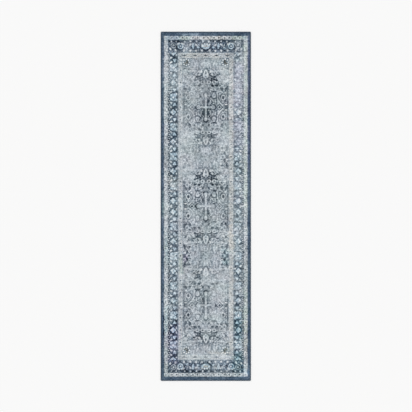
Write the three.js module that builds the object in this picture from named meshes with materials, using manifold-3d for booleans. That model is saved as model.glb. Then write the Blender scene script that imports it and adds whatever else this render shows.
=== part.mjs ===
// A low-pile, machine-woven runner rug, 2 ft 7 in by 10 ft, overcast with yarn on all four sides.
// Millimetres, +Z up. X runs across the runner and Y along it. The origin is the middle of the
// underside, which is the plane that lies on the floor.
import * as THREE from "three";
import { mergeVertices } from "three/addons/utils/BufferGeometryUtils.js";
import Module from "manifold-3d";

// ---- Driving dimensions ----

// Whole rug, over the overcast edges.
const RUG_WIDTH = 787.4;
const RUG_LENGTH = 3048;

// The cloth, from the floor up.
const BACKCOAT_T = 0.75; // latex brushed on the back, which locks the weave
const LOWER_WEFT_T = 1; // jute shots that show on the back as ribs
const STUFFER_T = 0.75; // straight warp ends that run the whole length
const UPPER_WEFT_T = 1; // shots that the pile tufts are bent round
const PILE_T = 4.75; // cut pile above the upper weft

// The overcast edge: yarn wound round a filler cord and over the rim of the cloth.
const CORD_D = 3.5; // filler cord
const CORD_FIT = 0.15; // slack between the cord and what lies round it
const WRAP_T = 1; // thickness of the wound yarn
const WRAP_REACH = 9; // from the outer edge in to where the needle goes through the cloth

// The care label, a plain patch sewn flat on the back near one corner.
const LABEL_WIDTH = 64;
const LABEL_LENGTH = 92;
const LABEL_T = 0.25;
const LABEL_FROM_SIDE = 48; // outer edge of the rug to the label, across
const LABEL_FROM_END = 60; // outer edge of the rug to the label, along
const THREAD_T = 0.25; // how far the stitches stand out of the label
const THREAD_WIDTH = 0.8;
const THREAD_MARGIN = 3.5; // label's edge to the row of stitches

const FIT_GAP = 0.3; // between pieces that lie side by side

// ---- Values worked out from them ----

// Heights are kept to 1/64 mm, so that two layers share exactly the same plane.
const snap = (mm) => Math.round(mm * 64) / 64;

const clothBottom = snap(BACKCOAT_T);
const stufferBottom = clothBottom + snap(LOWER_WEFT_T);
const upperWeftBottom = stufferBottom + snap(STUFFER_T);
const clothTop = upperWeftBottom + snap(UPPER_WEFT_T);

const channelRadius = CORD_D / 2 + CORD_FIT;
const beadRadius = channelRadius + WRAP_T;
const clothInset = WRAP_T + 2 * channelRadius; // the cloth's cut edge butts against the cord
const coverInset = WRAP_REACH + FIT_GAP; // the pile and the back coat stop short of the wraps
const cornerReach = WRAP_REACH; // radius of the fan of wraps at each corner
const runEnd = cornerReach + FIT_GAP; // outer edge to where a straight run of wraps ends

const ARC_STEPS = 12; // facets in the half round of the bead
const CORD_SIDES = 12;
const CORNER_STEPS = 8; // facets in the quarter turn of a corner
const OVERCUT = 1; // how far a cutter runs past the faces that it cuts

// ---- Materials ----

const cloth = (name, color, roughness) =>
  new THREE.MeshStandardMaterial({ name, color, roughness, metalness: 0 });

const pileYarn = () => cloth("pile_yarn", 0x98a4ad, 0.95);
const edgeYarn = () => cloth("edge_yarn", 0x35485a, 0.85);
const juteYarn = () => cloth("jute_yarn", 0xb59a70, 0.95);
const warpYarn = () => cloth("warp_yarn", 0xd8d2c2, 0.9);
const fillerCord = () => cloth("filler_cord", 0xcfc8b8, 0.95);
const latex = () => cloth("latex", 0xd9d3c4, 0.7);
const labelTape = () => cloth("label_tape", 0xf1efe8, 0.6);
const sewingThread = () => cloth("sewing_thread", 0xe7e3d8, 0.7);

// ---- Solids ----

const wasm = await Module();
wasm.setup();

// A closed geometry as a manifold-3d solid. Triangles that shrink to a line on a lathe's axis go.
function solid(geometry) {
  const bare = geometry.clone();
  bare.deleteAttribute("normal");
  bare.deleteAttribute("uv");
  const merged = mergeVertices(bare, 1e-4);
  const index = merged.index.array;
  const triVerts = [];
  for (let i = 0; i < index.length; i += 3) {
    const [a, b, c] = index.slice(i, i + 3);
    if (a !== b && b !== c && c !== a) triVerts.push(a, b, c);
  }
  return new wasm.Manifold(
    new wasm.Mesh({
      numProp: 3,
      vertProperties: merged.attributes.position.array,
      triVerts: Uint32Array.from(triVerts),
    }),
  );
}

// A manifold-3d solid as a geometry.
function geometryOf(made) {
  const mesh = made.getMesh();
  const geometry = new THREE.BufferGeometry();
  geometry.setAttribute("position", new THREE.BufferAttribute(mesh.vertProperties, 3));
  geometry.setIndex(new THREE.BufferAttribute(mesh.triVerts, 1));
  const flat = geometry.toNonIndexed();
  flat.computeVertexNormals();
  return flat;
}

// A box between two corners.
function block(low, high) {
  const [x, y, z] = high.map((value, i) => value - low[i]);
  const middle = high.map((value, i) => (value + low[i]) / 2);
  return new THREE.BoxGeometry(x, y, z).translate(...middle);
}

// A rectangle centred on the Z axis, from z = 0 up to the thickness.
function slab(width, length, thickness) {
  const outline = new THREE.Shape();
  outline.moveTo(-width / 2, -length / 2);
  outline.lineTo(width / 2, -length / 2);
  outline.lineTo(width / 2, length / 2);
  outline.lineTo(-width / 2, length / 2);
  outline.closePath();
  return new THREE.ExtrudeGeometry(outline, { depth: thickness, bevelEnabled: false });
}

// The outside of the wraps in section: x is 0 at the outer edge of the rug and falls inwards, and
// y is the height. A round bead over the cord runs down to a thin flange on the face of the cloth.
function wrapOutline() {
  const outline = new THREE.Shape();
  outline.moveTo(-WRAP_REACH, 0);
  outline.lineTo(-beadRadius, 0);
  outline.absarc(-beadRadius, beadRadius, beadRadius, -Math.PI / 2, Math.PI / 2, false);
  outline.lineTo(-WRAP_REACH, clothTop + WRAP_T);
  outline.closePath();
  return outline;
}

// ---- Pieces ----

const rug = new THREE.Group();

function add(parent, name, geometry, material) {
  const mesh = new THREE.Mesh(geometry, material);
  mesh.name = name;
  parent.add(mesh);
  return mesh;
}

// One layer of the cloth, inset from the outer edge of the rug on all four sides.
function addLayer(name, inset, bottom, thickness, material) {
  const width = RUG_WIDTH - 2 * inset;
  const length = RUG_LENGTH - 2 * inset;
  const layer = add(rug, name, slab(width, length, thickness), material);
  layer.position.z = bottom;
}

addLayer("lower_weft", clothInset, clothBottom, snap(LOWER_WEFT_T), juteYarn());
addLayer("stuffer_warp", clothInset, stufferBottom, snap(STUFFER_T), warpYarn());
addLayer("upper_weft", clothInset, upperWeftBottom, snap(UPPER_WEFT_T), juteYarn());
addLayer("cut_pile", coverInset, clothTop, snap(PILE_T), pileYarn());

// The care label and its stitches press into the soft back coat, flush with the underside.
const labelX = -RUG_WIDTH / 2 + LABEL_FROM_SIDE + LABEL_WIDTH / 2;
const labelY = -RUG_LENGTH / 2 + LABEL_FROM_END + LABEL_LENGTH / 2;
const threadHeight = snap(THREAD_T);
const labelHeight = snap(LABEL_T);

function addBackcoat() {
  const coat = solid(
    slab(RUG_WIDTH - 2 * coverInset, RUG_LENGTH - 2 * coverInset, clothBottom),
  );
  const halfWidth = LABEL_WIDTH / 2 + FIT_GAP;
  const halfLength = LABEL_LENGTH / 2 + FIT_GAP;
  const pocket = block(
    [labelX - halfWidth, labelY - halfLength, -OVERCUT],
    [labelX + halfWidth, labelY + halfLength, threadHeight + labelHeight],
  );
  add(rug, "latex_backcoat", geometryOf(coat.subtract(solid(pocket))), latex());
}

// The row of stitches is one closed loop of thread, just inside the label's edge.
function threadLoop() {
  const outerWidth = LABEL_WIDTH - 2 * THREAD_MARGIN;
  const outerLength = LABEL_LENGTH - 2 * THREAD_MARGIN;
  const outside = solid(slab(outerWidth, outerLength, threadHeight));
  const insideWidth = outerWidth - 2 * THREAD_WIDTH;
  const insideLength = outerLength - 2 * THREAD_WIDTH;
  const inside = slab(insideWidth, insideLength, threadHeight + 2 * OVERCUT);
  return geometryOf(outside.subtract(solid(inside.translate(0, 0, -OVERCUT))));
}

function addLabel() {
  const patch = new THREE.Group();
  patch.position.set(labelX, labelY, 0);
  rug.add(patch);
  const tape = slab(LABEL_WIDTH, LABEL_LENGTH, labelHeight);
  add(patch, "care_label", tape, labelTape()).position.z = threadHeight;
  add(patch, "label_stitching", threadLoop(), sewingThread());
}

addBackcoat();
addLabel();

// One straight run of the overcast edge in its own frame: the outer edge lies on x = 0, the rug
// lies towards -x, and the run is centred on y = 0.
function wrapRun(length) {
  const outline = wrapOutline();
  const outside = new THREE.ExtrudeGeometry(outline, {
    depth: length,
    bevelEnabled: false,
    curveSegments: ARC_STEPS,
  });
  outside.rotateX(Math.PI / 2).translate(0, length / 2, 0);
  const channel = cordBar(channelRadius, length + 2 * OVERCUT);
  channel.translate(-beadRadius, 0, beadRadius);
  const half = length / 2 + OVERCUT;
  const slot = block(
    [-WRAP_REACH - OVERCUT, -half, clothBottom],
    [-clothInset + CORD_FIT, half, clothTop],
  );
  return geometryOf(solid(outside).subtract(solid(channel)).subtract(solid(slot)));
}

// A round bar along y, centred on the origin, with a flat side facing up.
function cordBar(radius, length) {
  const bar = new THREE.CylinderGeometry(radius, radius, length, CORD_SIDES);
  return bar.rotateY(Math.PI / CORD_SIDES);
}

// Where a corner joins two runs, the wraps fan out round the inner corner of the edge, so the
// section is turned about it and cut to the quarter that faces out (+x, +y).
function cornerFan() {
  const turn = (points) =>
    new THREE.LatheGeometry(points, 4 * CORNER_STEPS).rotateX(Math.PI / 2);
  const section = wrapOutline()
    .getPoints(ARC_STEPS)
    .map((point) => new THREE.Vector2(point.x + cornerReach, point.y));
  const outside = solid(turn(section));

  const channel = new THREE.EllipseCurve(
    cornerReach - beadRadius,
    beadRadius,
    channelRadius,
    channelRadius,
  );
  const ring = solid(turn(channel.getPoints(CORD_SIDES)));

  const clothCorner = cornerReach - clothInset + CORD_FIT;
  const slot = block(
    [-OVERCUT, -OVERCUT, clothBottom],
    [clothCorner, clothCorner, clothTop],
  );
  const past = cornerReach + OVERCUT;
  const quarter = block([0, 0, -OVERCUT], [past, past, 2 * beadRadius + OVERCUT]);
  return geometryOf(
    outside.intersect(solid(quarter)).subtract(ring).subtract(solid(slot)),
  );
}

// Each side of the rug: its name, the turn about Z that points the run's outer edge outwards, the
// outer edge's distance from the middle, and the length of the side.
const sides = [
  ["right", 0, RUG_WIDTH / 2, RUG_LENGTH],
  ["head", Math.PI / 2, RUG_LENGTH / 2, RUG_WIDTH],
  ["left", Math.PI, RUG_WIDTH / 2, RUG_LENGTH],
  ["foot", -Math.PI / 2, RUG_LENGTH / 2, RUG_WIDTH],
];

for (const [name, turn, distance, sideLength] of sides) {
  const edge = new THREE.Group();
  edge.rotation.z = turn;
  rug.add(edge);
  const length = sideLength - 2 * runEnd;
  add(edge, `serging_${name}`, wrapRun(length), edgeYarn()).position.x = distance;
  const cord = add(edge, `edge_cord_${name}`, cordBar(CORD_D / 2, length), fillerCord());
  cord.position.set(distance - beadRadius, 0, beadRadius);
}

// Each corner: its name, the side of the rug that it is on in x and y, and the turn about Z that
// points the fan outwards.
const corners = [
  ["head_right", 1, 1, 0],
  ["head_left", -1, 1, Math.PI / 2],
  ["foot_left", -1, -1, Math.PI],
  ["foot_right", 1, -1, -Math.PI / 2],
];

for (const [name, sideX, sideY, turn] of corners) {
  const fan = add(rug, `corner_wrap_${name}`, cornerFan(), edgeYarn());
  const middleX = RUG_WIDTH / 2 - cornerReach;
  const middleY = RUG_LENGTH / 2 - cornerReach;
  fan.position.set(sideX * middleX, sideY * middleY, 0);
  fan.rotation.z = turn;
}

export default rug;
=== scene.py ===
import math

import bpy
import numpy as np
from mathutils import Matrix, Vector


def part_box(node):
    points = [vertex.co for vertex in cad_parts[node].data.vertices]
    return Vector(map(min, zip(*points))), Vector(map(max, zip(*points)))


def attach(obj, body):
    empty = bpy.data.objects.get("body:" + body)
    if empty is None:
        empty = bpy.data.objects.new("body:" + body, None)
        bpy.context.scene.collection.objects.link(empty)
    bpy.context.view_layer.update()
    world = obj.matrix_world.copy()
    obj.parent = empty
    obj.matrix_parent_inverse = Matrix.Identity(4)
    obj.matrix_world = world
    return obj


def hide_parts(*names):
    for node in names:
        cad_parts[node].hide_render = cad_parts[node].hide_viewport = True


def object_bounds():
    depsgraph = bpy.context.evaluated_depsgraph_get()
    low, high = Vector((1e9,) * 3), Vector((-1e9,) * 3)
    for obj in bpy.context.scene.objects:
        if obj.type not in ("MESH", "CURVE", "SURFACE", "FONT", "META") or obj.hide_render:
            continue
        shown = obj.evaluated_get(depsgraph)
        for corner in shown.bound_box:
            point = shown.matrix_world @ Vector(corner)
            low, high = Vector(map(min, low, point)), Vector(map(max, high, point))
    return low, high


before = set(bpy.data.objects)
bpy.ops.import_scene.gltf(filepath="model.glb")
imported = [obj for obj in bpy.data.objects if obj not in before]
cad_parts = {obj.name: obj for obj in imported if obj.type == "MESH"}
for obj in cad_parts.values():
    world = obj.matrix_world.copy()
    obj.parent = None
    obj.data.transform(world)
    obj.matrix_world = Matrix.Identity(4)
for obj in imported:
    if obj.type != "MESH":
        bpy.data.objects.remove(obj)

# A machine-woven runner in a worn, space-dyed pattern, laid flat on a pale floor. The pattern is
# drawn in millimetres on the rug: x across it, y along it, from the middle of the rug.

MM = 0.001
CAD_LOW, CAD_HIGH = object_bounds()
HALF_WIDTH = CAD_HIGH.x / MM
HALF_LENGTH = CAD_HIGH.y / MM

# ---- Pattern: layout ----

# Each band by the distance of its inner edge from the outer edge of the rug: on the long sides,
# and on the ends.
NAVY_BAND = (29, 38)
LIGHT_GUARD = (64, 71)
MAIN_BORDER = (151, 183)
INNER_GUARD = (195, 233)

UNIT = 864  # pitch of the medallions
CORNER = 84  # side of the square that holds each corner flower of the field
ROSETTE_START = 48  # first rosette of the side border, from the middle of the rug
ROSETTE_PITCH = 129
SIDE_DASHES = 108  # pitch of the small dashes in the inner guard, along the sides
END_DASHES = 94  # and across the ends
OUTER_DASHES = 92  # and in the light guard
OUTER_SHIFT = 20  # across the ends, these stand this far to each side of their pitch marks
TILE_STEP = 1.25  # the motifs are drawn at this resolution
SCROLL_START = 7  # the tendrils' noise is flat along its lattice lines, so tiles start off them

# ---- Pattern: palette, 8 bits a channel, from dark to light ----

INK = (44, 58, 72)
GRAPHITE = (49, 61, 72)
NAVY = (66, 84, 104)
TEAL = (80, 103, 118)
BARK = (98, 100, 98)
SLATE = (104, 118, 130)
STEEL = (138, 150, 159)
MIST = (172, 181, 188)
BISCUIT = (188, 184, 178)
WORN = (188, 196, 201)
FROST = (178, 199, 213)
PEARL = (200, 208, 213)
CHALK = (216, 223, 226)


# ---- Pattern: noise ----


def noise(u, v, cell, seed):
    """Smooth noise from -1 to 1 at the points (u, v). cell is a lump's size across and along."""
    across = u / cell[0]
    along = v / cell[1]
    i = np.floor(across).astype(int)
    j = np.floor(along).astype(int)
    left = i - i.min()
    low = j - j.min()
    rng = np.random.default_rng(seed)
    lattice = rng.uniform(-1, 1, (low.max() + 2, left.max() + 2))
    s = across - i
    t = along - j
    s = s * s * (3 - 2 * s)
    t = t * t * (3 - 2 * t)
    near = lattice[low, left] * (1 - s) + lattice[low, left + 1] * s
    far = lattice[low + 1, left] * (1 - s) + lattice[low + 1, left + 1] * s
    return near * (1 - t) + far * t


def mottled(u, v, layers):
    """The sum of layers of noise, each with its strength, its cell and its seed."""
    return sum(strength * noise(u, v, cell, seed) for strength, cell, seed in layers)


def ramp(value, start, end):
    """0 before start, 1 past end, smooth between."""
    t = np.clip((value - start) / (end - start), 0, 1)
    return t * t * (3 - 2 * t)


# ---- Pattern: shapes, each a signed distance in mm, negative inside ----


def disc(r):
    return lambda u, v: np.hypot(u, v) - r


def ring(r, width):
    return lambda u, v: np.abs(np.hypot(u, v) - r) - width / 2


def oval(a, b):
    return lambda u, v: (np.hypot(u / a, v / b) - 1) * min(a, b)


def oval_ring(a, b, width):
    return lambda u, v: np.abs(np.hypot(u / a, v / b) - 1) * min(a, b) - width / 2


def diamond(a, b):
    return lambda u, v: (np.abs(u) / a + np.abs(v) / b - 1) * a * b / math.hypot(a, b)


def box(a, b):
    return lambda u, v: np.maximum(np.abs(u) - a, np.abs(v) - b)


def almond(a, b):
    """Pointed at both ends, which lie at v = -b and b."""
    r = (a * a + b * b) / (2 * a)
    return lambda u, v: np.hypot(np.abs(u) + r - a, v) - r


def drop(a, b):
    """Round at v = -b and pointed at v = b."""
    widest = 0.385  # the largest value of sqrt(t) * (1 - t)

    def shape(u, v):
        t = np.clip((v + b) / (2 * b), 0, 1)
        half = a * np.sqrt(t) * (1 - t) / widest
        return np.maximum(np.abs(u) - half, np.abs(v) - b) * 0.8

    return shape


def flower(r, petals, depth):
    """A disc with a wavy edge, one wave for each petal, deep by a share of its radius."""

    def shape(u, v):
        return np.hypot(u, v) - r * (1 + depth * np.cos(petals * np.arctan2(u, v)))

    return shape


def stroke(width, *points):
    """A line through the points."""

    def shape(u, v):
        best = np.full(np.broadcast(u, v).shape, 1e9)
        for (ax, ay), (bx, by) in zip(points, points[1:]):
            dx = bx - ax
            dy = by - ay
            t = np.clip(((u - ax) * dx + (v - ay) * dy) / (dx * dx + dy * dy), 0, 1)
            best = np.minimum(best, np.hypot(u - ax - t * dx, v - ay - t * dy))
        return best - width / 2

    return shape


def arc(r, width, start, end):
    """Part of a ring, from one angle to another in degrees, anticlockwise from +u."""
    steps = int((end - start) / 15)
    angles = np.radians(np.linspace(start, end, steps + 1))
    return stroke(width, *[(r * math.cos(a), r * math.sin(a)) for a in angles])


# ---- Pattern: tiles ----


class Tile:
    """A piece of the pattern that repeats, with u across and v along."""

    def __init__(self, width, length, ground):
        self.u = np.arange(0, width + TILE_STEP, TILE_STEP)[None, :]
        self.v = np.arange(0, length + TILE_STEP, TILE_STEP)[:, None]
        self.rgb = np.empty((self.v.size, self.u.size, 3))
        self.rgb[:] = ground

    def wash(self, cover, colour):
        """Paints a colour over the whole tile, by a share from 0 to 1 at each point."""
        self.rgb += cover[..., None] * (np.array(colour, float) - self.rgb)

    def draw(self, colour, strength, shape, *places, turn=0):
        """Draws a shape at each place, or where it is if there are none, so strongly from 0 to 1."""
        c = math.cos(math.radians(turn))
        s = math.sin(math.radians(turn))
        for u0, v0 in places or [(0, 0)]:
            u = self.u - u0
            v = self.v - v0
            edge = shape(c * u + s * v, c * v - s * u)
            self.wash(strength * np.clip(0.5 - edge / (2 * TILE_STEP), 0, 1), colour)

    def scrolls(self, colour, cell, width, seed, strength):
        """Fills the tile with winding tendrils, the level lines of a smooth noise."""
        half_cell = (cell[0] / 2, cell[1] / 2)
        layers = ((1, cell, seed), (0.5, half_cell, seed + 1))
        field = mottled(self.u + SCROLL_START, self.v + SCROLL_START, layers)
        slope_v, slope_u = np.gradient(field, TILE_STEP)
        least_slope = 0.004  # keeps the tendrils from spreading where the noise is flat
        edge = np.abs(field) / np.maximum(np.hypot(slope_u, slope_v), least_slope) - width / 2
        self.wash(strength * np.clip(0.5 - edge / (2 * TILE_STEP), 0, 1), colour)

    def seen_at(self, u, v):
        """The tile's colour at each point of the grid of u and v."""
        u, v = np.broadcast_arrays(u, v)
        a = np.clip(u / TILE_STEP, 0, self.u.size - 1.001)
        b = np.clip(v / TILE_STEP, 0, self.v.size - 1.001)
        i = a.astype(int)
        j = b.astype(int)
        s = (a - i)[..., None]
        t = (b - j)[..., None]
        near = self.rgb[j, i] * (1 - s) + self.rgb[j, i + 1] * s
        far = self.rgb[j + 1, i] * (1 - s) + self.rgb[j + 1, i + 1] * s
        return near * (1 - t) + far * t


def folded(v, pitch):
    """The distance to the nearest multiple of the pitch, so that a tile repeats and mirrors."""
    return np.abs((v + pitch / 2) % pitch - pitch / 2)


# ---- Pattern: the field, one quarter of a medallion unit ----


def draw_ground(tile):
    """The panel behind the medallion, darkest at its heart and edged by a dark line, and the
    tendrils that fill the field."""
    panel = 1 - ramp(tile.v + 6 * np.cos(tile.u / 12), 196, 214)
    tile.wash(panel * 0.5, STEEL)
    tile.wash(panel * 0.4 * ramp(tile.u, 128, 160), SLATE)
    heart = 1 - ramp(np.hypot(tile.u / 105, tile.v / 120), 0.55, 1.25)
    tile.wash(0.7 * heart, SLATE)
    tile.scrolls(GRAPHITE, (22, 25), 7, 11, 0.5)
    tile.scrolls(CHALK, (19, 21), 7, 23, 0.6)
    tile.scrolls(GRAPHITE, (30, 27), 7, 37, 0.42)
    tile.scrolls(PEARL, (26, 30), 6, 41, 0.6)
    tile.draw(GRAPHITE, 0.6, box(5, 186), (190, 0))
    tile.draw(GRAPHITE, 0.25, box(96, 4.5), (108, 207))


def draw_cross(tile):
    """The light cross of the medallion, with its ring ends and dark brackets."""
    for reach, colour, strength in ((8, GRAPHITE, 0.7), (0, PEARL, 0.85)):
        tile.draw(colour, strength, box(8.5 + reach, 104 + reach))
        tile.draw(colour, strength, box(62 + reach, 7.5 + reach))
        tile.draw(colour, strength, disc(17 + reach), (63, 0))
        tile.draw(colour, strength, oval(15 + reach, 18 + reach), (0, 102))
    tile.draw(SLATE, 0.8, ring(8, 4.5), (64, 0))
    tile.draw(SLATE, 0.45, stroke(3, (12, 0), (48, 0)))
    tile.draw(SLATE, 0.8, diamond(6, 6))
    tile.draw(GRAPHITE, 0.9, arc(25, 11, -75, 75), (64, 0))
    tile.draw(GRAPHITE, 0.9, arc(23, 11, 20, 90), (0, 109))
    tile.draw(GRAPHITE, 0.85, box(6.5, 6.5), (17, 18), (25, 38), (38, 20))
    tile.draw(CHALK, 0.7, disc(4), (27, 27), (30, 52))
    tile.draw(GRAPHITE, 0.85, drop(12, 28), (30, 68), turn=-24)
    tile.draw(GRAPHITE, 0.75, disc(7), (44, 92), (56, 46), (92, 30), (96, 60))
    tile.draw(CHALK, 0.8, disc(4.5), (44, 78), (70, 34), (84, 48), (110, 36))
    tile.draw(PEARL, 0.65, stroke(5, (16, 84), (34, 68), (46, 40)))


def draw_medallion_sides(tile):
    """Diamonds, tulips, ovals and the long curves round the cross."""
    tile.draw(GRAPHITE, 0.75, diamond(31, 31), (120, 0))
    tile.draw(PEARL, 0.9, diamond(21, 21), (120, 0))
    tile.draw(GRAPHITE, 0.85, diamond(12, 13), (120, 0))
    tile.draw(GRAPHITE, 0.65, box(12, 14), (178, 4))
    tile.draw(GRAPHITE, 0.6, oval(17, 10), (176, 24))
    tile.draw(CHALK, 1.0, oval(12, 5.5), (176, 24))
    tile.draw(PEARL, 0.8, stroke(9, (148, 14), (120, 40), (102, 64), (99, 128)))
    tile.draw(GRAPHITE, 0.6, stroke(7, (152, 26), (132, 48), (114, 72), (111, 124)))
    tile.draw(GRAPHITE, 0.65, drop(28, 36), (72, 104))
    tile.draw(PEARL, 0.8, drop(17, 25), (72, 106))
    tile.draw(SLATE, 0.5, drop(7, 14), (72, 110))
    tile.draw(GRAPHITE, 0.8, box(22, 5), (72, 135))
    tile.draw(GRAPHITE, 0.55, oval(27, 31), (152, 84))
    tile.draw(PEARL, 0.9, oval_ring(16, 21, 8), (152, 84))
    tile.draw(GRAPHITE, 0.7, oval(8, 11), (152, 84))
    tile.draw(CHALK, 0.85, disc(5.5), (132, 140), (168, 128), (120, 172), (44, 152))
    tile.draw(GRAPHITE, 0.7, drop(11, 20), (136, 160), turn=40)
    tile.draw(GRAPHITE, 0.65, drop(10, 18), (176, 160), turn=-30)
    tile.draw(GRAPHITE, 0.55, drop(10, 18), (24, 160), turn=30)
    tile.draw(PEARL, 0.7, oval_ring(14, 18, 7), (162, 186))
    tile.draw(GRAPHITE, 0.75, drop(9, 17), (56, 190), (92, 190), turn=70)


def draw_pendant(tile):
    """The bright pendant between two medallions, its dark crown and the fan of rays beyond it."""
    tile.draw(GRAPHITE, 0.3, oval(80, 38), (20, 250))
    leaves = ((24, 238, 70), (46, 232, 60), (70, 240, 80), (92, 236, 60), (22, 262, 50),
              (50, 272, 70), (76, 266, 95), (98, 280, 110), (64, 292, 60), (34, 284, 40))
    for u, v, turn in leaves:
        tile.draw(GRAPHITE, 0.75, drop(8, 15), (u, v), turn=turn)
        tile.draw(PEARL, 0.8, disc(4.5), (u + 11, v + 11))
    tile.draw(GRAPHITE, 0.5, disc(17), (28, 219), (73, 219))
    tile.draw(PEARL, 0.9, oval_ring(14, 11, 8), (28, 219), (73, 219))
    tile.draw(GRAPHITE, 0.95, disc(9.5), (50, 250))
    tile.draw(GRAPHITE, 0.5, oval(33, 50), (0, 292))
    tile.draw(PEARL, 0.85, drop(24, 42), (0, 291))
    tile.draw(CHALK, 0.9, stroke(6, (9, 250), (22, 272), (18, 296), (3, 328)))
    tile.draw(SLATE, 0.6, oval(9, 9), (0, 268))
    tile.draw(GRAPHITE, 0.75, drop(6, 14), (0, 300))
    tile.draw(GRAPHITE, 0.75, disc(6.5), (13, 252), (27, 318), (40, 296))
    tile.draw(CHALK, 0.9, flower(9, 4, 0.3), (40, 311), (58, 284))
    tile.draw(SLATE, 0.4, stroke(8, (30, 334), (70, 320), (112, 328)))
    for u, half, top in ((0, 13, 352), (30, 8, 350), (55, 12, 362), (84, 8, 356), (112, 12, 376)):
        tile.draw(SLATE, 0.45, almond(half, 30), (u, top))
        tile.draw(PEARL, 0.4, almond(8, 24), (u + 15, top + 10))
    tile.draw(GRAPHITE, 0.9, diamond(9, 9), (0, 405))
    tile.draw(STEEL, 0.35, oval(60, 22), (30, 414))


def draw_spandrel(tile):
    """The flowers at the sides of the field, half way between two medallions."""
    tile.draw(GRAPHITE, 0.3, oval(24, 84), (176, 432))
    tile.draw(PEARL, 0.8, ring(26, 10), (192, 432))
    tile.draw(SLATE, 0.7, ring(13, 7), (192, 432))
    tile.draw(PEARL, 0.6, ring(16, 7), (146, 432))
    tile.draw(GRAPHITE, 0.75, disc(8), (146, 432))
    tile.draw(GRAPHITE, 0.75, drop(10, 24), (164, 404), turn=-28)
    tile.draw(CHALK, 0.85, stroke(6, (150, 398), (158, 378), (172, 366)))
    tile.draw(CHALK, 0.75, stroke(6, (178, 402), (184, 388), (198, 380)))
    tile.draw(GRAPHITE, 0.7, drop(11, 26), (184, 356), turn=20)
    tile.draw(GRAPHITE, 0.5, drop(7, 18), (146, 362), turn=-35)
    tile.draw(PEARL, 0.6, stroke(6, (126, 400), (136, 372), (128, 340)))
    tile.draw(PEARL, 0.35, stroke(6, (196, 338), (176, 322), (150, 318)))
    tile.draw(PEARL, 0.6, oval_ring(14, 11, 6), (150, 268), (180, 236))
    tile.draw(SLATE, 0.5, drop(10, 20), (124, 296), turn=60)


def field_tile():
    """u from the middle of the rug outwards, v from the middle of a medallion to half way to the
    next one."""
    overlap = 4  # the field reaches a little under the inner guard
    tile = Tile(HALF_WIDTH - INNER_GUARD[0] + overlap, UNIT / 2, MIST)
    draw_ground(tile)
    draw_medallion_sides(tile)
    draw_cross(tile)
    draw_pendant(tile)
    draw_spandrel(tile)
    calm = ramp(tile.v, 335, 385) * (1 - ramp(tile.u, 85, 135))  # paler between two pendants
    tile.wash(0.4 * calm, MIST)
    return tile


def corner_tile():
    """The flower in each corner of the field, ringed by white flecks. u and v run towards the
    corner."""
    tile = Tile(CORNER, CORNER, MIST)
    tile.scrolls(SLATE, (17, 16), 6, 63, 0.5)
    tile.draw(SLATE, 0.85, flower(39, 8, 0.1), (55, 49))
    tile.draw(STEEL, 0.6, flower(22, 5, 0.2), (58, 49))
    tile.draw(BARK, 0.85, oval(17, 10), (60, 40))
    tile.draw(BARK, 0.85, oval(10, 16), (50, 56))
    tile.draw(PEARL, 0.6, disc(4), (52, 41), (66, 47), (54, 58))
    angles = np.radians(np.arange(0, 360, 45))
    flecks = [(55 + 28 * math.cos(a), 49 + 28 * math.sin(a)) for a in angles]
    tile.draw(CHALK, 1.0, disc(7), *flecks)
    return tile


# ---- Pattern: the bands round the field ----


def side_border_tile():
    """u from the border's outer line inwards, v from a small bright rosette to a large one."""
    width = MAIN_BORDER[0] - LIGHT_GUARD[0]
    tile = Tile(width, ROSETTE_PITCH, TEAL)
    tile.scrolls(PEARL, (15, 16), 5, 51, 0.55)
    tile.scrolls(INK, (18, 20), 6, 57, 0.6)
    tile.draw(INK, 0.8, stroke(15, (18, 22), (46, 36), (78, 44)))
    tile.draw(INK, 0.8, stroke(15, (18, 98), (44, 92), (78, 82)))
    tile.draw(CHALK, 0.8, drop(8, 15), (24, 44), (24, 84), turn=60)
    tile.draw(CHALK, 0.75, drop(7, 14), (77, 24), (77, 104), turn=-40)
    tile.draw(INK, 0.6, flower(28, 4, 0.12), (45, 0))
    tile.draw(FROST, 1.0, flower(21, 4, 0.2), (45, 0))
    tile.draw(CHALK, 0.7, disc(8), (38, 8))
    tile.draw(SLATE, 0.8, disc(4.5), (45, 0))
    tile.draw(INK, 0.5, oval(34, 44), (45, 129))
    tile.draw(FROST, 0.9, oval(25, 35), (45, 129))
    tile.draw(FROST, 0.85, disc(11), (24, 110), (66, 110))
    tile.draw(INK, 0.55, oval_ring(12, 15, 5), (45, 129))
    tile.draw(INK, 0.7, diamond(6, 8), (24, 129), (66, 129), (45, 102))
    tile.draw(CHALK, 0.9, disc(5.5), (45, 129))
    tile.draw(INK, 0.6, disc(20), (57, 64))
    tile.draw(FROST, 1.0, flower(13, 3, 0.25), (57, 64))
    tile.draw(INK, 0.6, box(8.5, 200), (8.5, 0))
    for k in range(8):
        tile.draw(CHALK, 0.9, disc(5), (6 + 6 * (k % 2), 8 + 18 * k))
        tile.draw(INK, 0.8, disc(6), (12 - 6 * (k % 2), 18 * k))
    tile.draw(SLATE, 0.85, box(4.5, 200), (width - 3, 0))
    return tile


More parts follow.
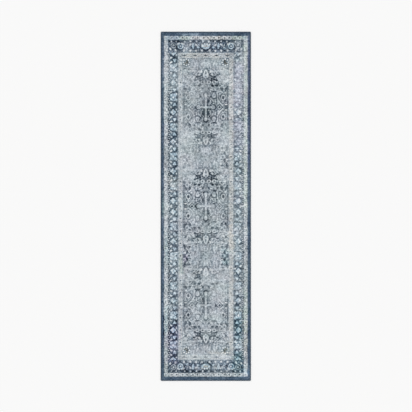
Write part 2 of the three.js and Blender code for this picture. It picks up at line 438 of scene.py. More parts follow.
def end_border_tile():
    """u from the middle of the rug outwards, v from the border's outer line inwards."""
    depth = MAIN_BORDER[1] - LIGHT_GUARD[1]
    tile = Tile(HALF_WIDTH - LIGHT_GUARD[0], depth, NAVY)
    tile.scrolls(MIST, (15, 14), 5, 71, 0.7)
    tile.scrolls(INK, (17, 17), 6, 73, 0.7)
    # the palmette in the middle
    tile.draw(INK, 0.7, oval(48, 46), (0, 56))
    tile.draw(FROST, 0.9, oval(38, 23), (0, 57))
    tile.draw(CHALK, 0.9, disc(8), (33, 42), (12, 37))
    tile.draw(BISCUIT, 0.8, oval(25, 8), (0, 57))
    tile.draw(INK, 0.6, disc(4), (22, 39), (0, 44), (32, 74))
    tile.draw(SLATE, 0.4, box(12, 3), (0, 60))
    # the ringed rosette near the corner
    rosette = (221, 56)
    tile.draw(INK, 0.65, disc(36), rosette)
    tile.draw(CHALK, 0.9, disc(9), (194, 40), (210, 33), (232, 33), (248, 40))
    tile.draw(FROST, 0.95, disc(26), rosette)
    tile.draw(NAVY, 0.95, ring(13, 8), rosette)
    tile.draw(CHALK, 0.9, disc(6), rosette)
    # almonds, bulbs and small flowers between them
    tile.draw(INK, 0.65, almond(20, 40), (110, 56))
    tile.draw(FROST, 0.9, almond(11, 28), (110, 54))
    tile.draw(INK, 0.55, disc(17), (66, 66), (163, 74))
    tile.draw(FROST, 0.85, disc(11), (66, 66), (163, 74))
    tile.draw(PEARL, 0.7, stroke(6, (0, 0), (8, -34)), (68, 62), (155, 70))
    tile.draw(NAVY, 0.8, disc(4), (163, 74))
    tile.draw(PEARL, 0.9, drop(10, 12), (34, 97), (84, 99), (136, 99), (190, 97))
    tile.draw(CHALK, 0.75, drop(8, 17), (84, 46), turn=40)
    tile.draw(CHALK, 0.75, drop(8, 17), (138, 46), turn=-40)
    # the corner
    tile.draw(INK, 0.65, disc(33), (281, 50))
    tile.draw(PEARL, 0.6, ring(21, 8), (281, 50))
    tile.draw(PEARL, 0.9, disc(9), (281, 48))
    tile.draw(CHALK, 0.8, drop(8, 17), (308, 84), (262, 94), turn=30)
    # the row of dark blocks along the outer line, with white drops between them
    tile.draw(INK, 0.95, box(15, 9), *[(u, 14) for u in (0, 52, 108, 162, 276, 318)])
    tile.draw(INK, 0.95, box(31, 9), (rosette[0], 14))
    tile.draw(CHALK, 0.75, drop(7, 9), *[(u, 17) for u in (27, 80, 135, 184, 258, 300)])
    # the outer line and, inside the corner, the inner line
    tile.draw(INK, 0.5, box(HALF_WIDTH, 3), (0, 2))
    tile.draw(SLATE, 0.8, box(250, 4), (0, depth - 3))
    return tile


def guard_tile(width, pitch, square, dash):
    """A light guard stripe, from the middle of a dark dash to half way to the next. square is the
    half size of the dash across the stripe, and dash its half length."""
    tile = Tile(width, pitch / 2, MIST)
    tile.scrolls(SLATE, (15, 16), 5, 91, 0.35)
    tile.scrolls(CHALK, (14, 13), 5, 93, 0.6)
    tile.draw(SLATE, 0.55, box(3, pitch), (2, 0), (width - 2, 0))
    tile.draw(BISCUIT, 0.35, box(3, pitch), (width / 2 - 10, 0), (width / 2 + 10, 0))
    tile.draw(INK, 0.75, flower(square, 4, 0.2), (width / 2, 0))
    tile.draw(INK, 0.7, box(square / 2, dash), (width / 2, 0))
    tile.draw(CHALK, 0.8, disc(3.5), (width / 2 - 12, 7), (width / 2 + 12, 7))
    tile.draw(SLATE, 0.6, disc(4.5), (width / 2 - 9, 22), (width / 2 + 9, 35))
    return tile


# ---- Pattern: put together on the rug ----

# Space-dyed yarn and years of wear: the middle of each patch, its half sizes, how worn it
# is (below 0, the pattern stands out more than elsewhere) and its dye.
PLAIN = (0, 0, 0)
SAGE = (-1, 3, -4)
SEA = (-8, 1, 1)
PLUM = (2, -4, 3)
LILAC = (2, -1, 4)
SAND = (7, 3, -1)
SKY = (-5, 1, 6)
PATCHES = [
    # navy band
    ((-140, 1498), (75, 10), 0.55, SKY),
    ((-379, 1150), (15, 110), 0.18, PLAIN),
    ((-379, 30), (15, 120), 0.14, SAGE),
    ((-379, -350), (15, 90), -0.12, SAND),
    ((379, 150), (15, 180), 0.1, PLAIN),
    ((379, 900), (15, 600), 0, PLUM),
    # light guard
    ((350, 1466), (28, 22), 0.3, SKY),
    ((350, -1462), (30, 30), 0.1, SKY),
    ((-285, 1470), (60, 15), 0, SKY),
    ((-180, 1470), (50, 15), 0, SAGE),
    ((30, 1470), (150, 15), -0.2, SAND),
    ((300, 1470), (60, 15), 0, SAGE),
    ((-346, 1140), (16, 150), 0.8, PLAIN),
    ((-346, 20), (16, 130), 0.7, PLAIN),
    ((-346, -350), (16, 110), -0.8, SEA),
    ((-346, -980), (16, 130), -1.0, SEA),
    ((346, 700), (16, 720), 0.3, SAGE),
    ((346, 150), (16, 160), -0.2, PLAIN),
    ((346, -1150), (16, 160), -0.4, SAND),
    # main border
    ((-150, 1400), (40, 55), 0.45, PLAIN),
    ((0, 1400), (90, 55), -0.2, PLAIN),
    ((0, 1400), (300, 55), -0.05, PLAIN),
    ((0, -1400), (300, 55), -0.05, PLAIN),
    ((-286, 1120), (45, 120), 0.45, PLAIN),
    ((-286, 200), (45, 60), 0.3, SAND),
    ((-286, -320), (45, 60), -0.15, PLAIN),
    ((-286, -1200), (45, 170), -0.15, PLUM),
    ((286, 420), (45, 900), 0.22, PLAIN),
    ((286, 1060), (45, 200), 0.5, LILAC),
    ((286, 640), (45, 110), 0.6, LILAC),
    ((286, 180), (45, 110), 0.25, PLAIN),
    ((286, -130), (45, 100), 0.15, PLAIN),
    ((286, -700), (45, 70), 0.3, PLAIN),
    ((286, -1070), (45, 90), 0, SEA),
    ((286, -1350), (45, 90), 0, SEA),
    # inner guard
    ((0, 1316), (190, 20), 0, SAND),
    ((0, -1311), (210, 14), 0.5, PLAIN),
    ((-221, 500), (18, 200), 0.5, PLAIN),
    ((221, 450), (18, 830), 0.1, SAND),
    ((221, -700), (18, 560), 0.3, SAND),
    # field
    ((-170, 1255), (45, 40), -0.35, PLAIN),
    ((170, 1255), (45, 40), -0.3, PLAIN),
    ((-170, -1255), (45, 40), -0.3, PLAIN),
    ((165, 1160), (36, 70), 0.75, PLAIN),
    ((-150, 1180), (45, 80), 0.2, PLAIN),
    ((-60, 970), (80, 90), 0.45, PLAIN),
    ((100, 1075), (60, 30), -0.3, PLAIN),
    ((-160, 450), (50, 200), 0.55, PLAIN),
    ((160, 430), (45, 190), 0.25, PLAIN),
    ((0, 230), (110, 50), -0.2, PLAIN),
    ((90, -80), (60, 80), 0.35, PLAIN),
    ((-80, -90), (60, 60), 0.3, PLAIN),
    ((0, -240), (120, 50), -0.2, PLAIN),
    ((0, 20), (190, 180), -0.15, PLAIN),
    ((-165, -430), (40, 90), -0.05, PLAIN),
    ((-185, -460), (15, 50), 0, PLUM),
    ((-216, -500), (15, 80), 0, SAGE),
    ((176, -440), (35, 70), 0.05, SEA),
    ((80, -620), (120, 60), 0.6, PLAIN),
    ((110, -760), (80, 90), 0.7, PLAIN),
    ((0, -860), (60, 110), 0.1, PLAIN),
    ((90, -940), (60, 60), 0.5, PLAIN),
    ((346, -900), (16, 200), 0.1, SAGE),
    ((-80, -900), (50, 60), 0.35, PLAIN),
    ((0, -1200), (110, 60), -0.15, PLAIN),
    ((0, -440), (100, 60), -0.25, PLAIN),
    ((100, -1280), (90, 15), 0.3, SAND),
]
PATCH_SOFT = 24  # width of a patch's soft edge
PATCH_WAVER = ((0.8, (40, 16), 301), (0.6, (12, 10), 302))
BAND_WAVER = ((3.5, (200, 45), 305), (2, (200, 16), 306))  # of the navy band's inner edge

# Wear and uneven yarn all over the rug, as layers of noise
FADE_MEAN = 0.17
FADE = ((0.26, (150, 210), 401), (0.16, (45, 60), 402), (0.20, (110, 6), 403), (0.14, (26, 26), 404))
NAVY_FADE = 0.3  # the navy band fades less
SPECKLE = 12  # from knot to knot
TWIN_MOTTLE = ((14, (9, 9), 502),)  # repeats and mirrors with the medallions
MOTTLE = ((27, (8, 7.5), 503), (8, (30, 6), 504))
CLOUDS = ((12, (90, 120), 507), (7, (36, 50), 508))
MOTTLE_SHARES = (0.7, 1.5, 1.05)  # in the navy band, in the other bands and in the field
HUES = ((505, (30, 24), (-1.5, 0.5, 1.5)), (506, (90, 70), (-1, 1, -1)))
DARKEST = 25
LIGHTEST = 238


def add_patches(rgb, x, y):
    """Lays the patches over the pattern, each with a soft edge that wavers."""
    waver = mottled(x, y, PATCH_WAVER)
    for middle, half, wear, dye in PATCHES:
        cover = 1
        for at, centre, reach in ((x, middle[0], half[0]), (y, middle[1], half[1])):
            soft = min(PATCH_SOFT, reach)
            cover = cover * (1 - ramp(np.abs(at - centre) - reach + soft * waver, -soft, soft))
        rgb += (cover * wear)[..., None] * (np.array(WORN) - rgb)
        rgb += cover[..., None] * np.array(dye)


def pattern(x, y):
    """The clean pattern: the colour of the rug at each point, before any wear."""
    across = HALF_WIDTH - np.abs(x)
    along = HALF_LENGTH - np.abs(y)
    rgb = field_tile().seen_at(np.abs(x), folded(y, UNIT))

    def lay(where, colours):
        rgb[where] = np.broadcast_to(colours, rgb.shape)[where]

    def within(band):
        return (across < band[0]) | (along < band[1])

    def end_of(band, outside):
        """The band's part on the ends of the rug, inside the band that lies outside it."""
        return (along < band[1]) & (across > outside[0])

    def lay_guard(guard, outside, on_sides, on_ends, shift=0):
        """Each of on_sides and on_ends is the dashes' pitch and their half sizes."""
        side = guard_tile(guard[0] - outside[0], *on_sides)
        lay(within(guard), side.seen_at(across - outside[0], folded(y, on_sides[0])))
        end = guard_tile(guard[1] - outside[1], *on_ends)
        dashes = np.abs(folded(x, on_ends[0]) - shift)
        lay(end_of(guard, outside), end.seen_at(along - outside[1], dashes))

    corner_u = CORNER + INNER_GUARD[0] - across
    corner_v = CORNER + INNER_GUARD[1] - along
    lay((corner_u > 0) & (corner_v > 0), corner_tile().seen_at(corner_u, corner_v))
    lay_guard(INNER_GUARD, MAIN_BORDER, (SIDE_DASHES, 6, 4), (END_DASHES, 8, 17))
    # the main border
    rows = folded(np.abs(y) - ROSETTE_START, 2 * ROSETTE_PITCH)
    lay(within(MAIN_BORDER), side_border_tile().seen_at(across - LIGHT_GUARD[0], rows))
    on_end = end_of(MAIN_BORDER, LIGHT_GUARD)
    lay(on_end, end_border_tile().seen_at(np.abs(x), along - LIGHT_GUARD[1]))
    lay_guard(LIGHT_GUARD, NAVY_BAND, (OUTER_DASHES, 4, 4), (OUTER_DASHES, 6, 6), OUTER_SHIFT)
    # the navy band, whose inner edge wavers along the sides
    waver = mottled(x, y, BAND_WAVER)
    lay((across + waver < NAVY_BAND[0]) | (along < NAVY_BAND[1]), NAVY)
    return rgb


def worn_pattern(x, y):
    """The colour of every knot of the worn rug, 8 bits a channel."""
    rgb = pattern(x, y)
    across = HALF_WIDTH - np.abs(x)
    along = HALF_LENGTH - np.abs(y)
    navy = (across < NAVY_BAND[0]) | (along < NAVY_BAND[1])
    bands = (across < MAIN_BORDER[0]) | (along < MAIN_BORDER[1])
    fade = FADE_MEAN + mottled(x, y, FADE)
    fade = np.clip(np.where(navy, NAVY_FADE * fade, fade), 0, 0.85)[..., None]
    rgb += fade * (np.array(WORN) - rgb)
    add_patches(rgb, x, y)
    rng = np.random.default_rng(501)
    grain = SPECKLE * rng.standard_normal(rgb.shape[:2])
    grain += mottled(np.abs(x), folded(y, UNIT), TWIN_MOTTLE) + mottled(x, y, MOTTLE)
    in_navy, in_bands, in_field = MOTTLE_SHARES
    grain *= np.where(navy, in_navy, np.where(bands, in_bands, in_field))
    rgb += (grain + mottled(x, y, CLOUDS))[..., None]
    for seed, cell, shift in HUES:
        rgb += noise(x, y, cell, seed)[..., None] * np.array(shift)
    return np.clip(rgb, DARKEST, LIGHTEST)


# ---- Meshes ----

KNOT = 2.5  # pitch of the tufts
PILE_ROUND = 5.0  # how far in from its edge the sheared pile starts to fall
PILE_FALL = 2.0  # and how far it falls there
PILE_WEAR_MEAN = 0.25  # how far the worn pile lies below its full height
PILE_WEAR = ((0.175, (120, 160), 602), (0.075, (30, 8), 603))
TUFT_UNEVEN = 0.35  # from tuft to tuft
RIB = 4.0  # pitch of the weft and warp ribs
WRAP_PITCH = 4.0  # pitch of the turns of the overcast edge
SAMPLES = 4  # points along one rib or turn
COARSE = (9, 25)  # points across and along a layer, where it has no ribs to follow


def millimetres(node):
    """A node's lowest and highest corner."""
    low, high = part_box(node)
    return np.array(low) / MM, np.array(high) / MM


def grid(low, high, counts):
    """Evenly spaced places across and along a box."""
    x, y = (np.linspace(low[k], high[k], counts[k]) for k in range(2))
    return x[None, :], y[:, None]


def signed_volume(points, quads):
    a, b, c, d = (points[quads[:, k]] for k in range(4))
    first = np.einsum("ij,ij->", a, np.cross(b, c))
    return (first + np.einsum("ij,ij->", a, np.cross(c, d))) / 6


def make_piece(name, points, quads, polygons, material, slot, nodes):
    """A closed mesh from points in mm, quads, and longer polygons, riding on the rug's one body."""
    if signed_volume(points, quads) < 0:
        quads = quads[:, ::-1]
        polygons = [p[::-1] for p in polygons]
    corners = np.concatenate([quads.ravel(), *polygons]).astype(np.int32)
    sides = np.array([4] * len(quads) + [len(p) for p in polygons])
    starts = np.concatenate([[0], np.cumsum(sides)[:-1]]).astype(np.int32)
    mesh = bpy.data.meshes.new(name)
    mesh.vertices.add(len(points))
    mesh.vertices.foreach_set("co", (points * MM).astype(np.float32).ravel())
    mesh.loops.add(len(corners))
    mesh.loops.foreach_set("vertex_index", corners)
    mesh.polygons.add(len(sides))
    mesh.polygons.foreach_set("loop_start", starts)
    mesh.update(calc_edges=True)
    mesh.polygons.foreach_set("use_smooth", np.ones(len(sides), bool))
    mesh.materials.append(material)
    made = bpy.data.objects.new(name, mesh)
    bpy.context.scene.collection.objects.link(made)
    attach(made, "root")
    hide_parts(*nodes)
    return made


def relief_slab(x, y, z, back):
    """Points, quads and polygons of a slab with the heights z on one face and a flat other face."""
    rows, cols = z.shape
    front = np.stack(np.broadcast_arrays(x, y, z), -1).reshape(-1, 3)
    first = np.arange(rows - 1)[:, None] * cols + np.arange(cols - 1)[None, :]
    grid = np.stack([first, first + 1, first + cols + 1, first + cols], -1).reshape(-1, 4)
    rim = np.concatenate([
        np.arange(cols),
        np.arange(1, rows) * cols + cols - 1,
        (rows - 1) * cols + np.arange(cols - 2, -1, -1),
        np.arange(rows - 2, 0, -1) * cols,
    ])
    behind = front[rim].copy()
    behind[:, 2] = back
    lower = len(front) + np.arange(len(rim))
    walls = np.stack([lower, np.roll(lower, -1), np.roll(rim, -1), rim], -1)
    left = lower[-np.arange(rows)]
    right = lower[cols - 1 + np.arange(rows)]
    far = lower[2 * (cols - 1) + rows - 1 - np.arange(1, cols - 1)]
    middle = np.stack([left[1:-2], left[2:-1], right[2:-1], right[1:-2]], -1)
    ends = [
        np.concatenate([left[:2], right[1::-1], lower[cols - 2:0:-1]]),
        np.concatenate([left[-2:], far, right[:-3:-1]]),
    ]
    return np.concatenate([front, behind]), np.concatenate([grid, walls, middle]), ends


def sweep(rings):
    """Points, quads and polygons of a closed outline carried through a row of rings."""
    count, around = rings.shape[:2]
    a = np.arange(count - 1)[:, None] * around + np.arange(around)[None, :]
    b = np.arange(count - 1)[:, None] * around + (np.arange(around)[None, :] + 1) % around
    quads = np.stack([a, b, b + around, a + around], -1).reshape(-1, 4)
    last = (count - 1) * around
    return rings.reshape(-1, 3), quads, [np.arange(around)[::-1], last + np.arange(around)]


# ---- Materials ----


def linear(rgb):
    """8-bit display colours as the linear values that a shader takes."""
    c = np.asarray(rgb, float) / 255
    return np.where(c <= 0.04045, c / 12.92, ((c + 0.055) / 1.055) ** 2.4)


class Finish:
    """A material with its node tree, and short ways to add to it."""

    def __init__(self, name, roughness, sheen=0.0, specular=0.2):
        self.material = bpy.data.materials.new(name)
        self.material.use_nodes = True
        self.tree = self.material.node_tree
        self.shader = self.tree.nodes["Principled BSDF"]
        self.put(self.shader, "Roughness", roughness)
        self.put(self.shader, "Specular IOR Level", specular)
        self.put(self.shader, "Sheen Weight", sheen)
        self.put(self.shader, "Sheen Roughness", 0.5)
        self.place = self.add("ShaderNodeTexCoord").outputs["Object"]

    def add(self, kind, **inputs):
        node = self.tree.nodes.new(kind)
        for name, value in inputs.items():
            self.put(node, name, value)
        return node

    def put(self, node, name, value):
        """Sets an input, given by name or number, or links it to another node's output."""
        socket = node.inputs[name]
        if isinstance(value, bpy.types.NodeSocket):
            self.tree.links.new(value, socket)
        else:
            socket.default_value = value

    def stretched(self, x, y, z):
        """The place on the piece with each axis scaled, so that a texture is drawn out along some."""
        return self.add("ShaderNodeMapping", Vector=self.place, Scale=(x, y, z)).outputs["Vector"]

    def lumps(self, size, vector=None, detail=2.0):
        """Noise with lumps of a size in mm."""
        place = vector or self.place
        node = self.add("ShaderNodeTexNoise", Vector=place, Scale=1 / (size * MM), Detail=detail)
        return node.outputs["Fac"]

    def ranged(self, value, low, high):
        """The value's middle half, 0.25 to 0.75, stretched to run from low to high."""
        limits = {"From Min": 0.25, "From Max": 0.75, "To Min": low, "To Max": high}
        return self.add("ShaderNodeMapRange", Value=value, **limits).outputs["Result"]

    def product(self, first, second):
        node = self.add("ShaderNodeMath")
        node.operation = "MULTIPLY"
        self.put(node, 0, first)
        self.put(node, 1, second)
        return node.outputs["Value"]

    def blended(self, size, dark, light):
        """Two 8-bit colours, mixed in lumps of a size in mm."""
        node = self.add("ShaderNodeMix", Factor=self.ranged(self.lumps(size), 0, 1))
        node.data_type = "RGBA"
        self.put(node, 6, (*linear(dark), 1))
        self.put(node, 7, (*linear(light), 1))
        return node.outputs[2]

    def coloured(self, colour, shade):
        """Sets the colour, made lighter and darker by the shade round 1."""
        node = self.add("ShaderNodeHueSaturation", Color=colour, Value=shade)
        self.put(self.shader, "Base Color", node.outputs["Color"])

    def roughened(self, size, low, high):
        """Sets the roughness, uneven in lumps of a size in mm."""
        self.put(self.shader, "Roughness", self.ranged(self.lumps(size), low, high))

    def bumped(self, height, distance, strength=1.0):
        """Raises the surface by the height, over a distance in mm."""
        node = self.add("ShaderNodeBump", Height=height, Distance=distance * MM, Strength=strength)
        self.put(self.shader, "Normal", node.outputs["Normal"])

    def ridges(self, pitch, direction, distortion=1.0):
        """Soft ridges across one axis, for yarns lying side by side."""
        scale = 2 * math.pi / (20 * pitch * MM)
        node = self.add("ShaderNodeTexWave", Vector=self.place, Scale=scale, Distortion=distortion)
        self.put(node, "Detail", 1.0)
        node.bands_direction = direction
        return node.outputs["Fac"]


def pile_yarn():
    """Sheared pile: the knot's own colour, with fibres that catch the light unevenly, and painted
    shade where the fibres and tuft rows lie low.
    """
    finish = Finish("pile_yarn", 0.95, sheen=0.08, specular=0.1)
    knot = finish.add("ShaderNodeAttribute")
    knot.attribute_name = "knot_colour"
    fibres = finish.lumps(1.3, detail=3.0)
    rows = finish.ridges(KNOT, "Y", 0.8)
    height = finish.product(finish.ranged(fibres, 0.4, 0.7), finish.ranged(rows, 0.7, 1.2))
    # The knot colour is darkened where the bump height is low, in the grooves between tuft rows and
    # between fibre lumps: painted shade on top of the bump.
    finish.coloured(knot.outputs["Color"], finish.ranged(height, 0.82, 1.14))
    finish.roughened(4, 0.88, 1.0)
    finish.bumped(height, 0.5, 0.7)
    return finish.material


def spun_yarn(name, dark, light, pitch, direction, fuzz=0.1, roughness=0.9):
    """Yarn lying side by side: two shades, fine plies and a little fuzz."""
    finish = Finish(name, roughness, sheen=fuzz, specular=0.15)
    shades = finish.blended(11, dark, light)
    finish.coloured(shades, finish.ranged(finish.lumps(0.9), 0.9, 1.1))
    finish.roughened(3, roughness - 0.06, roughness + 0.05)
    finish.bumped(finish.ridges(pitch, direction), 0.25, 0.8)
    return finish.material


def latex_coat():
    """Brushed-on latex with the jute under it showing faintly through."""
    finish = Finish("latex", 0.6, specular=0.4)
    shades = finish.blended(26, (206, 198, 180), (222, 216, 202))
    streaks = finish.lumps(3, finish.stretched(0.12, 1, 1), detail=3.0)
    finish.coloured(shades, finish.ranged(streaks, 0.9, 1.08))
    finish.roughened(7, 0.5, 0.75)
    finish.bumped(streaks, 0.3, 0.6)
    return finish.material


def satin_tape():
    """White woven label tape."""
    finish = Finish("label_tape", 0.5, sheen=0.1, specular=0.35)
    shades = finish.blended(9, (236, 233, 225), (246, 244, 238))
    finish.coloured(shades, finish.ranged(finish.lumps(0.6), 0.97, 1.03))
    finish.roughened(2, 0.42, 0.6)
    finish.bumped(finish.ridges(0.5, "Y", 0.2), 0.06, 0.8)
    return finish.material


# ---- The cloth ----

LABEL_GAP = 0.3  # round the label in its pocket


def knot_grid(node):
    """The places of the knots across and along a node."""
    low, high = millimetres(node)
    counts = np.round((high - low)[:2] / KNOT).astype(int) + 1
    return *grid(low, high, counts), low[2], high[2]


def make_pile():
    """The cut pile: every knot has its own colour and height, and the sheared rim is rounded."""
    x, y, back, top = knot_grid("cut_pile")
    rng = np.random.default_rng(601)
    inward = np.minimum(x.max() - np.abs(x), y.max() - np.abs(y))
    rim = PILE_FALL * 2 * (1 - ramp(inward, -PILE_ROUND, PILE_ROUND))
    worn = (PILE_WEAR_MEAN + mottled(x, y, PILE_WEAR)) * ramp(inward, 0, 20)
    z = top - rim - worn - TUFT_UNEVEN * rng.random((y.size, x.size))
    z += top - z.max()
    points, quads, polygons = relief_slab(x, y, z, back)
    made = make_piece("pile_face", points, quads, polygons, pile_yarn(), "pile_yarn", ["cut_pile"])
    colours = np.ones((len(points), 4), np.float32)
    knots = linear(worn_pattern(x, y)).reshape(-1, 3)
    colours[: len(knots), :3] = knots
    colours[len(knots):, :3] = linear(STEEL)
    layer = made.data.color_attributes.new("knot_colour", "FLOAT_COLOR", "POINT")
    layer.data.foreach_set("color", colours.ravel())
    return made


def ribbed_layer(name, node, along_x, depth, material, slot, downward=False):
    """One layer of yarn laid side by side, along x or along y, with its ribs on one face."""
    low, high = millimetres(node)
    fine = 1 if along_x else 0
    counts = list(COARSE)
    counts[fine] = int((high - low)[fine] / RIB * SAMPLES) + 1
    x, y = grid(low, high, counts)
    across = (y if along_x else x) + 0.3 * noise(x, y, (90, 90), 611)
    dip = depth * (1 - np.abs(np.sin(math.pi * across / RIB)) ** 0.8)
    z = low[2] + dip if downward else high[2] - dip
    return make_piece(
        name, *relief_slab(x, y, z, high[2] if downward else low[2]), material, slot, [node]
    )


def with_pocket(values, start, end):
    """The values with a close pair added at each side of a pocket, for its steep walls."""
    clear = (np.abs(values - start) > 0.5) & (np.abs(values - end) > 0.5)
    return np.sort(np.concatenate([values[clear], [start - 0.1, start, end, end + 0.1]]))


def make_backcoat():
    """The latex back: weft ribs show through it, and the care label lies in a shallow pocket."""
    low, high = millimetres("latex_backcoat")
    label_low, label_high = millimetres("care_label")
    pocket_low = label_low - LABEL_GAP
    pocket_high = label_high + LABEL_GAP
    counts = (COARSE[1], int((high - low)[1] / RIB * SAMPLES) + 1)
    x, y = (
        with_pocket(np.linspace(low[k], high[k], counts[k]), pocket_low[k], pocket_high[k])
        for k in range(2)
    )
    x = x[None, :]
    y = y[:, None]
    waves = 1 - np.abs(np.sin(math.pi * (y + 0.4 * noise(x, y, (60, 60), 621)) / RIB))
    z = low[2] + 0.22 * waves + 0.05 * (1 + noise(x, y, (35, 11), 622))
    edge = np.minimum(x.max() - np.abs(x), y.max() - np.abs(y))
    z = np.where(edge < 4, low[2] + 0.1, z)
    inside_x = (x > pocket_low[0] - 0.01) & (x < pocket_high[0] + 0.01)
    inside_y = (y > pocket_low[1] - 0.01) & (y < pocket_high[1] + 0.01)
    z = np.where(inside_x & inside_y, label_high[2], z)
    return make_piece(
        "latex_coat", *relief_slab(x, y, z, high[2]), latex_coat(), "latex", ["latex_backcoat"]
    )


def make_label():
    """A plain woven patch, sewn down flat."""
    low, high = millimetres("care_label")
    x, y = grid(low, high, (65, 93))
    fold = np.minimum(x.max() - x, x - x.min())
    z = low[2] + 0.03 * (1 + noise(x, y, (14, 9), 631)) + 0.05 * ramp(fold, 5.5, 6.5)
    return make_piece(
        "blank_label", *relief_slab(x, y, z, high[2]), satin_tape(), "label_tape", ["care_label"]
    )


STITCH = 3.6  # length of one stitch
STITCH_GAP = 0.9
STITCH_HALF = 0.38  # half the width of the thread
STITCH_INSET = 0.4  # from the edge of the stitching to the middle of the thread


def stitch_rings(start, end, half_width, low, high):
    """One stitch: a short plump thread, lower at its ends where it goes into the cloth."""
    rings = []
    for t in np.linspace(0, 1, 7):
        swell = math.sin(math.pi * (0.12 + 0.76 * t)) ** 0.5
        centre = start + (end - start) * t
        side = np.array([-(end - start)[1], (end - start)[0]]) / np.linalg.norm(end - start)
        ring_points = []
        for angle in np.linspace(0, 2 * math.pi, 8, endpoint=False):
            across = centre + side * half_width * swell * math.cos(angle)
            height = high - (high - low) * swell * (0.5 - 0.5 * math.sin(angle))
            ring_points.append([*across, height])
        rings.append(ring_points)
    return np.array(rings)


def make_stitches():
    """The running stitches round the label."""
    low, high = millimetres("label_stitching")
    left, near = low[:2] + STITCH_INSET
    right, far = high[:2] - STITCH_INSET
    corners = np.array([(left, near), (right, near), (right, far), (left, far)])
    points = []
    quads = []
    polygons = []
    used = 0
    for start, end in zip(corners, np.roll(corners, -1, 0)):
        length = np.linalg.norm(end - start)
        count = int(length / (STITCH + STITCH_GAP))
        pitch = length / count
        for k in range(count):
            a = start + (end - start) * ((k * pitch + STITCH_GAP / 2) / length)
            b = start + (end - start) * (((k + 1) * pitch - STITCH_GAP / 2) / length)
            stitch, sides, ends = sweep(stitch_rings(a, b, STITCH_HALF, low[2], high[2]))
            points.append(stitch)
            quads.append(sides + used)
            polygons += [end_face + used for end_face in ends]
            used += len(stitch)
    thread = spun_yarn("sewing_thread", (224, 219, 206), (236, 232, 222), 0.5, "DIAGONAL", 0.05, 0.7)
    return make_piece(
        "label_stitches", np.concatenate(points), np.concatenate(quads), polygons,
        thread, "sewing_thread", ["label_stitching"],
    )


# ---- The overcast edge ----

WRAP_REACH = 9.0  # outer edge to the inner edge of the wraps
WRAP_THICK = 1.0  # of the wraps' inner edge, over the cloth
CORNER_GAP = 0.3
CHANNEL = 1.9  # radius of the channel that the filler cord lies in
SIDE_SLOT = 4.65  # outer edge to the bottom of the slot that holds the cloth, along the sides
CORNER_SLOT = 2.75  # and at the corners
RIB_DEPTH = 0.55  # from the top of a turn to the valley beside it
RIM_DEPTH = 0.2  # the same at the wraps' inner edges
CORD_STEP = 2.5  # between the cord's rings
CORD_LAY = 15.0  # length of cord for one whole twist
PLIES = 3


def wrap_profile(slot_end):
    """The section of the wraps, x from the outer edge inwards and z up, and how far each point may
    sink between two turns. slot_end is how far in from the edge the cloth's slot reaches."""
    low, high = millimetres("serging_right")
    bead = (high[2] - low[2]) / 2
    cloth_low = millimetres("lower_weft")[0][2]
    cloth_high = millimetres("upper_weft")[1][2]
    flange_top = cloth_high + WRAP_THICK
    outer = [(-x, low[2]) for x in np.linspace(WRAP_REACH, bead, 4)]
    for angle in np.linspace(-90, 90, 11)[1:]:
        a = math.radians(angle)
        outer.append((-bead + bead * math.cos(a), bead + bead * math.sin(a)))
    outer += [
        (-x, 2 * bead - (2 * bead - flange_top) * (x - bead) / (WRAP_REACH - bead))
        for x in np.linspace(bead, WRAP_REACH, 4)[1:]
    ]
    turn = math.acos((bead - slot_end) / CHANNEL)
    channel = [
        (-bead + CHANNEL * math.cos(a), bead + CHANNEL * math.sin(a))
        for a in np.linspace(turn, -turn, 11)
    ]
    inner = [(-WRAP_REACH, cloth_high), (-slot_end, cloth_high), *channel]
    inner += [(-slot_end, cloth_low), (-WRAP_REACH, cloth_low)]
    outline = np.array(outer + inner)
    tangent = np.roll(outline, -1, 0) - np.roll(outline, 1, 0)
    normal = np.stack([tangent[:, 1], -tangent[:, 0]], -1)
    normal /= np.linalg.norm(normal, axis=1, keepdims=True)
    sink = np.zeros(len(outline))
    sink[: len(outer)] = RIB_DEPTH
    sink[[0, len(outer) - 1]] = RIM_DEPTH
    around = np.zeros(len(outline))
    around[: len(outer)] = np.linspace(0, 1, len(outer))
    return outline, normal, sink, around


def wound(profile, s, seed):
    """The profile at each distance s along the edge, pressed in between one turn and the next."""
    outline, normal, sink, around = profile
    s = s[:, None]
    turns = (s + 0.25 * noise(s, np.zeros_like(s), (23, 1), seed)) / WRAP_PITCH + around
    valley = 1 - np.abs(np.sin(math.pi * turns)) ** 0.7
    return outline - (valley * sink)[..., None] * normal


def turned(x, y, z, quarter):
    """Rings of points turned about the upright axis by quarter turns, anticlockwise."""
    x, y, z = np.broadcast_arrays(x, y, z)
    for _ in range(quarter):
        x, y = -y, x
    return np.stack([x, y, z], -1)


def half_size(quarter):
    """How far a side lies from the middle of the rug, and half its length."""
    return (HALF_WIDTH, HALF_LENGTH) if quarter % 2 == 0 else (HALF_LENGTH, HALF_WIDTH)


def stations(quarter, step):
    """The places of the rings along a side, which stops short of the corner wraps."""
    reach = half_size(quarter)[1] - WRAP_REACH - CORNER_GAP
    return np.append(np.arange(-reach, reach, step), reach)


def make_overcasting(name, quarter, yarn):
    """The turns along one side."""
    s = stations(quarter, WRAP_PITCH / SAMPLES)
    section = wound(wrap_profile(SIDE_SLOT), s, 700 + quarter)
    x = half_size(quarter)[0] + section[..., 0]
    rings = turned(x, s[:, None], section[..., 1], quarter)
    return make_piece(f"overcast_{name}", *sweep(rings), yarn, "edge_yarn", [f"serging_{name}"])


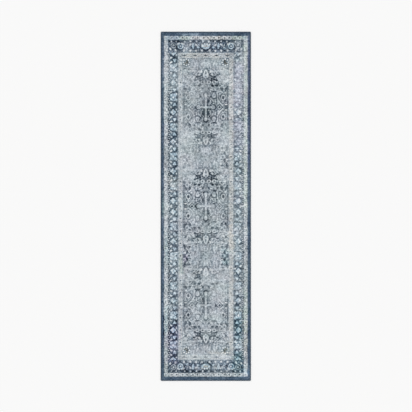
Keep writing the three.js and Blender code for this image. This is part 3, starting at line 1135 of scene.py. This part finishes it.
def make_cord(name, quarter, yarn):
    """The twisted filler cord inside one side."""
    s = stations(quarter, CORD_STEP)
    low, high = millimetres("edge_cord_right")
    middle = (low[2] + high[2]) / 2
    angles = np.linspace(0, 2 * math.pi, 12, endpoint=False)[None, :]
    ply = np.abs(np.cos(PLIES / 2 * (angles - 2 * math.pi * s[:, None] / CORD_LAY)))
    r = (high[2] - low[2]) / 2 * (0.8 + 0.2 * ply)
    x = half_size(quarter)[0] - middle + r * np.cos(angles)
    rings = turned(x, s[:, None], middle + r * np.sin(angles), quarter)
    return make_piece(f"cord_{name}", *sweep(rings), yarn, "filler_cord", [f"edge_cord_{name}"])


def make_corner(name, quarter, yarn):
    """The fan of turns round one corner."""
    angles = np.radians(np.linspace(0, 90, 17))
    section = wound(wrap_profile(CORNER_SLOT), angles * WRAP_REACH, 710 + quarter)
    out = np.maximum(section[..., 0] + WRAP_REACH, 0.3)
    width, length = half_size(quarter)
    x = width - WRAP_REACH + out * np.cos(angles)[:, None]
    y = length - WRAP_REACH + out * np.sin(angles)[:, None]
    rings = turned(x, y, section[..., 1], quarter)
    return make_piece(f"corner_{name}", *sweep(rings), yarn, "edge_yarn", [f"corner_wrap_{name}"])


def make_edges():
    """The overcast edge all round: its sides and corners, each made at +x or +x +y and turned."""
    yarn = spun_yarn("edge_yarn", (52, 68, 84), (66, 84, 100), 1.1, "DIAGONAL", 0.08, 0.85)
    cord_yarn = spun_yarn("filler_cord", (196, 188, 170), (214, 208, 194), 1.2, "DIAGONAL", 0.1)
    made = []
    for quarter, name in enumerate(("right", "head", "left", "foot")):
        made.append(make_overcasting(name, quarter, yarn))
        made.append(make_cord(name, quarter, cord_yarn))
    for quarter, name in enumerate(("head_right", "head_left", "foot_left", "foot_right")):
        made.append(make_corner(name, quarter, yarn))
    return made


# ---- Build ----

pile = make_pile()
jute = spun_yarn("jute_yarn", (168, 140, 100), (192, 166, 126), 1.4, "X", 0.05, 0.95)
warp = spun_yarn("warp_yarn", (206, 200, 184), (222, 216, 202), 1.4, "Y", 0.05)
upper = ribbed_layer("upper_weft_shots", "upper_weft", True, 0.35, jute, "jute_yarn")
stuffer = ribbed_layer("stuffer_ends", "stuffer_warp", False, 0.25, warp, "warp_yarn")
lower = ribbed_layer("lower_weft_shots", "lower_weft", True, 0.35, jute, "jute_yarn", downward=True)
coat = make_backcoat()
label = make_label()
stitches = make_stitches()
edges = make_edges()


# ---- Floor, light and camera ----


def make_floor():
    """A plain pale floor, so wide that its edges lie beyond every view."""
    half = 60.0
    below = -0.0003  # just under the rug
    corners = [(-half, -half, below), (half, -half, below), (half, half, below), (-half, half, below)]
    mesh = bpy.data.meshes.new("floor")
    mesh.from_pydata(corners, [], [(0, 1, 2, 3)])
    floor = bpy.data.objects.new("floor", mesh)
    bpy.context.scene.collection.objects.link(floor)
    paint = Finish("floor", 1.0, specular=0.0)
    paint.put(paint.shader, "Base Color", (0.954, 0.953, 0.951, 1))
    mesh.materials.append(paint.material)


def make_light():
    """An even sky, and one broad soft lamp high up, a little to the left and the foot."""
    world = bpy.data.worlds.new("studio")
    world.use_nodes = True
    background = world.node_tree.nodes["Background"]
    background.inputs["Color"].default_value = (1, 1, 1, 1)
    background.inputs["Strength"].default_value = 0.75
    bpy.context.scene.world = world
    lamp = bpy.data.lights.new("softbox", "SUN")
    lamp.energy = 0.84
    lamp.angle = math.radians(50)
    key = bpy.data.objects.new("softbox", lamp)
    key.rotation_euler = (math.radians(18), math.radians(-16), 0)
    bpy.context.scene.collection.objects.link(key)


def make_camera():
    """Straight down on the rug from high up, with the rug 85 % of the frame's height."""
    seen = 3.594  # metres across the frame, at the height of the pile
    aim = (0.0018, 0.0024)  # a little off the middle of the rug, as in the photo
    data = bpy.data.cameras.new("camera")
    data.sensor_width = 36.0
    data.lens = 85.0
    camera = bpy.data.objects.new("camera", data)
    camera.location = (*aim, seen * data.lens / data.sensor_width + CAD_HIGH.z)
    bpy.context.scene.collection.objects.link(camera)
    bpy.context.scene.camera = camera


make_floor()
make_light()
make_camera()
bpy.context.scene.view_settings.view_transform = "Standard"
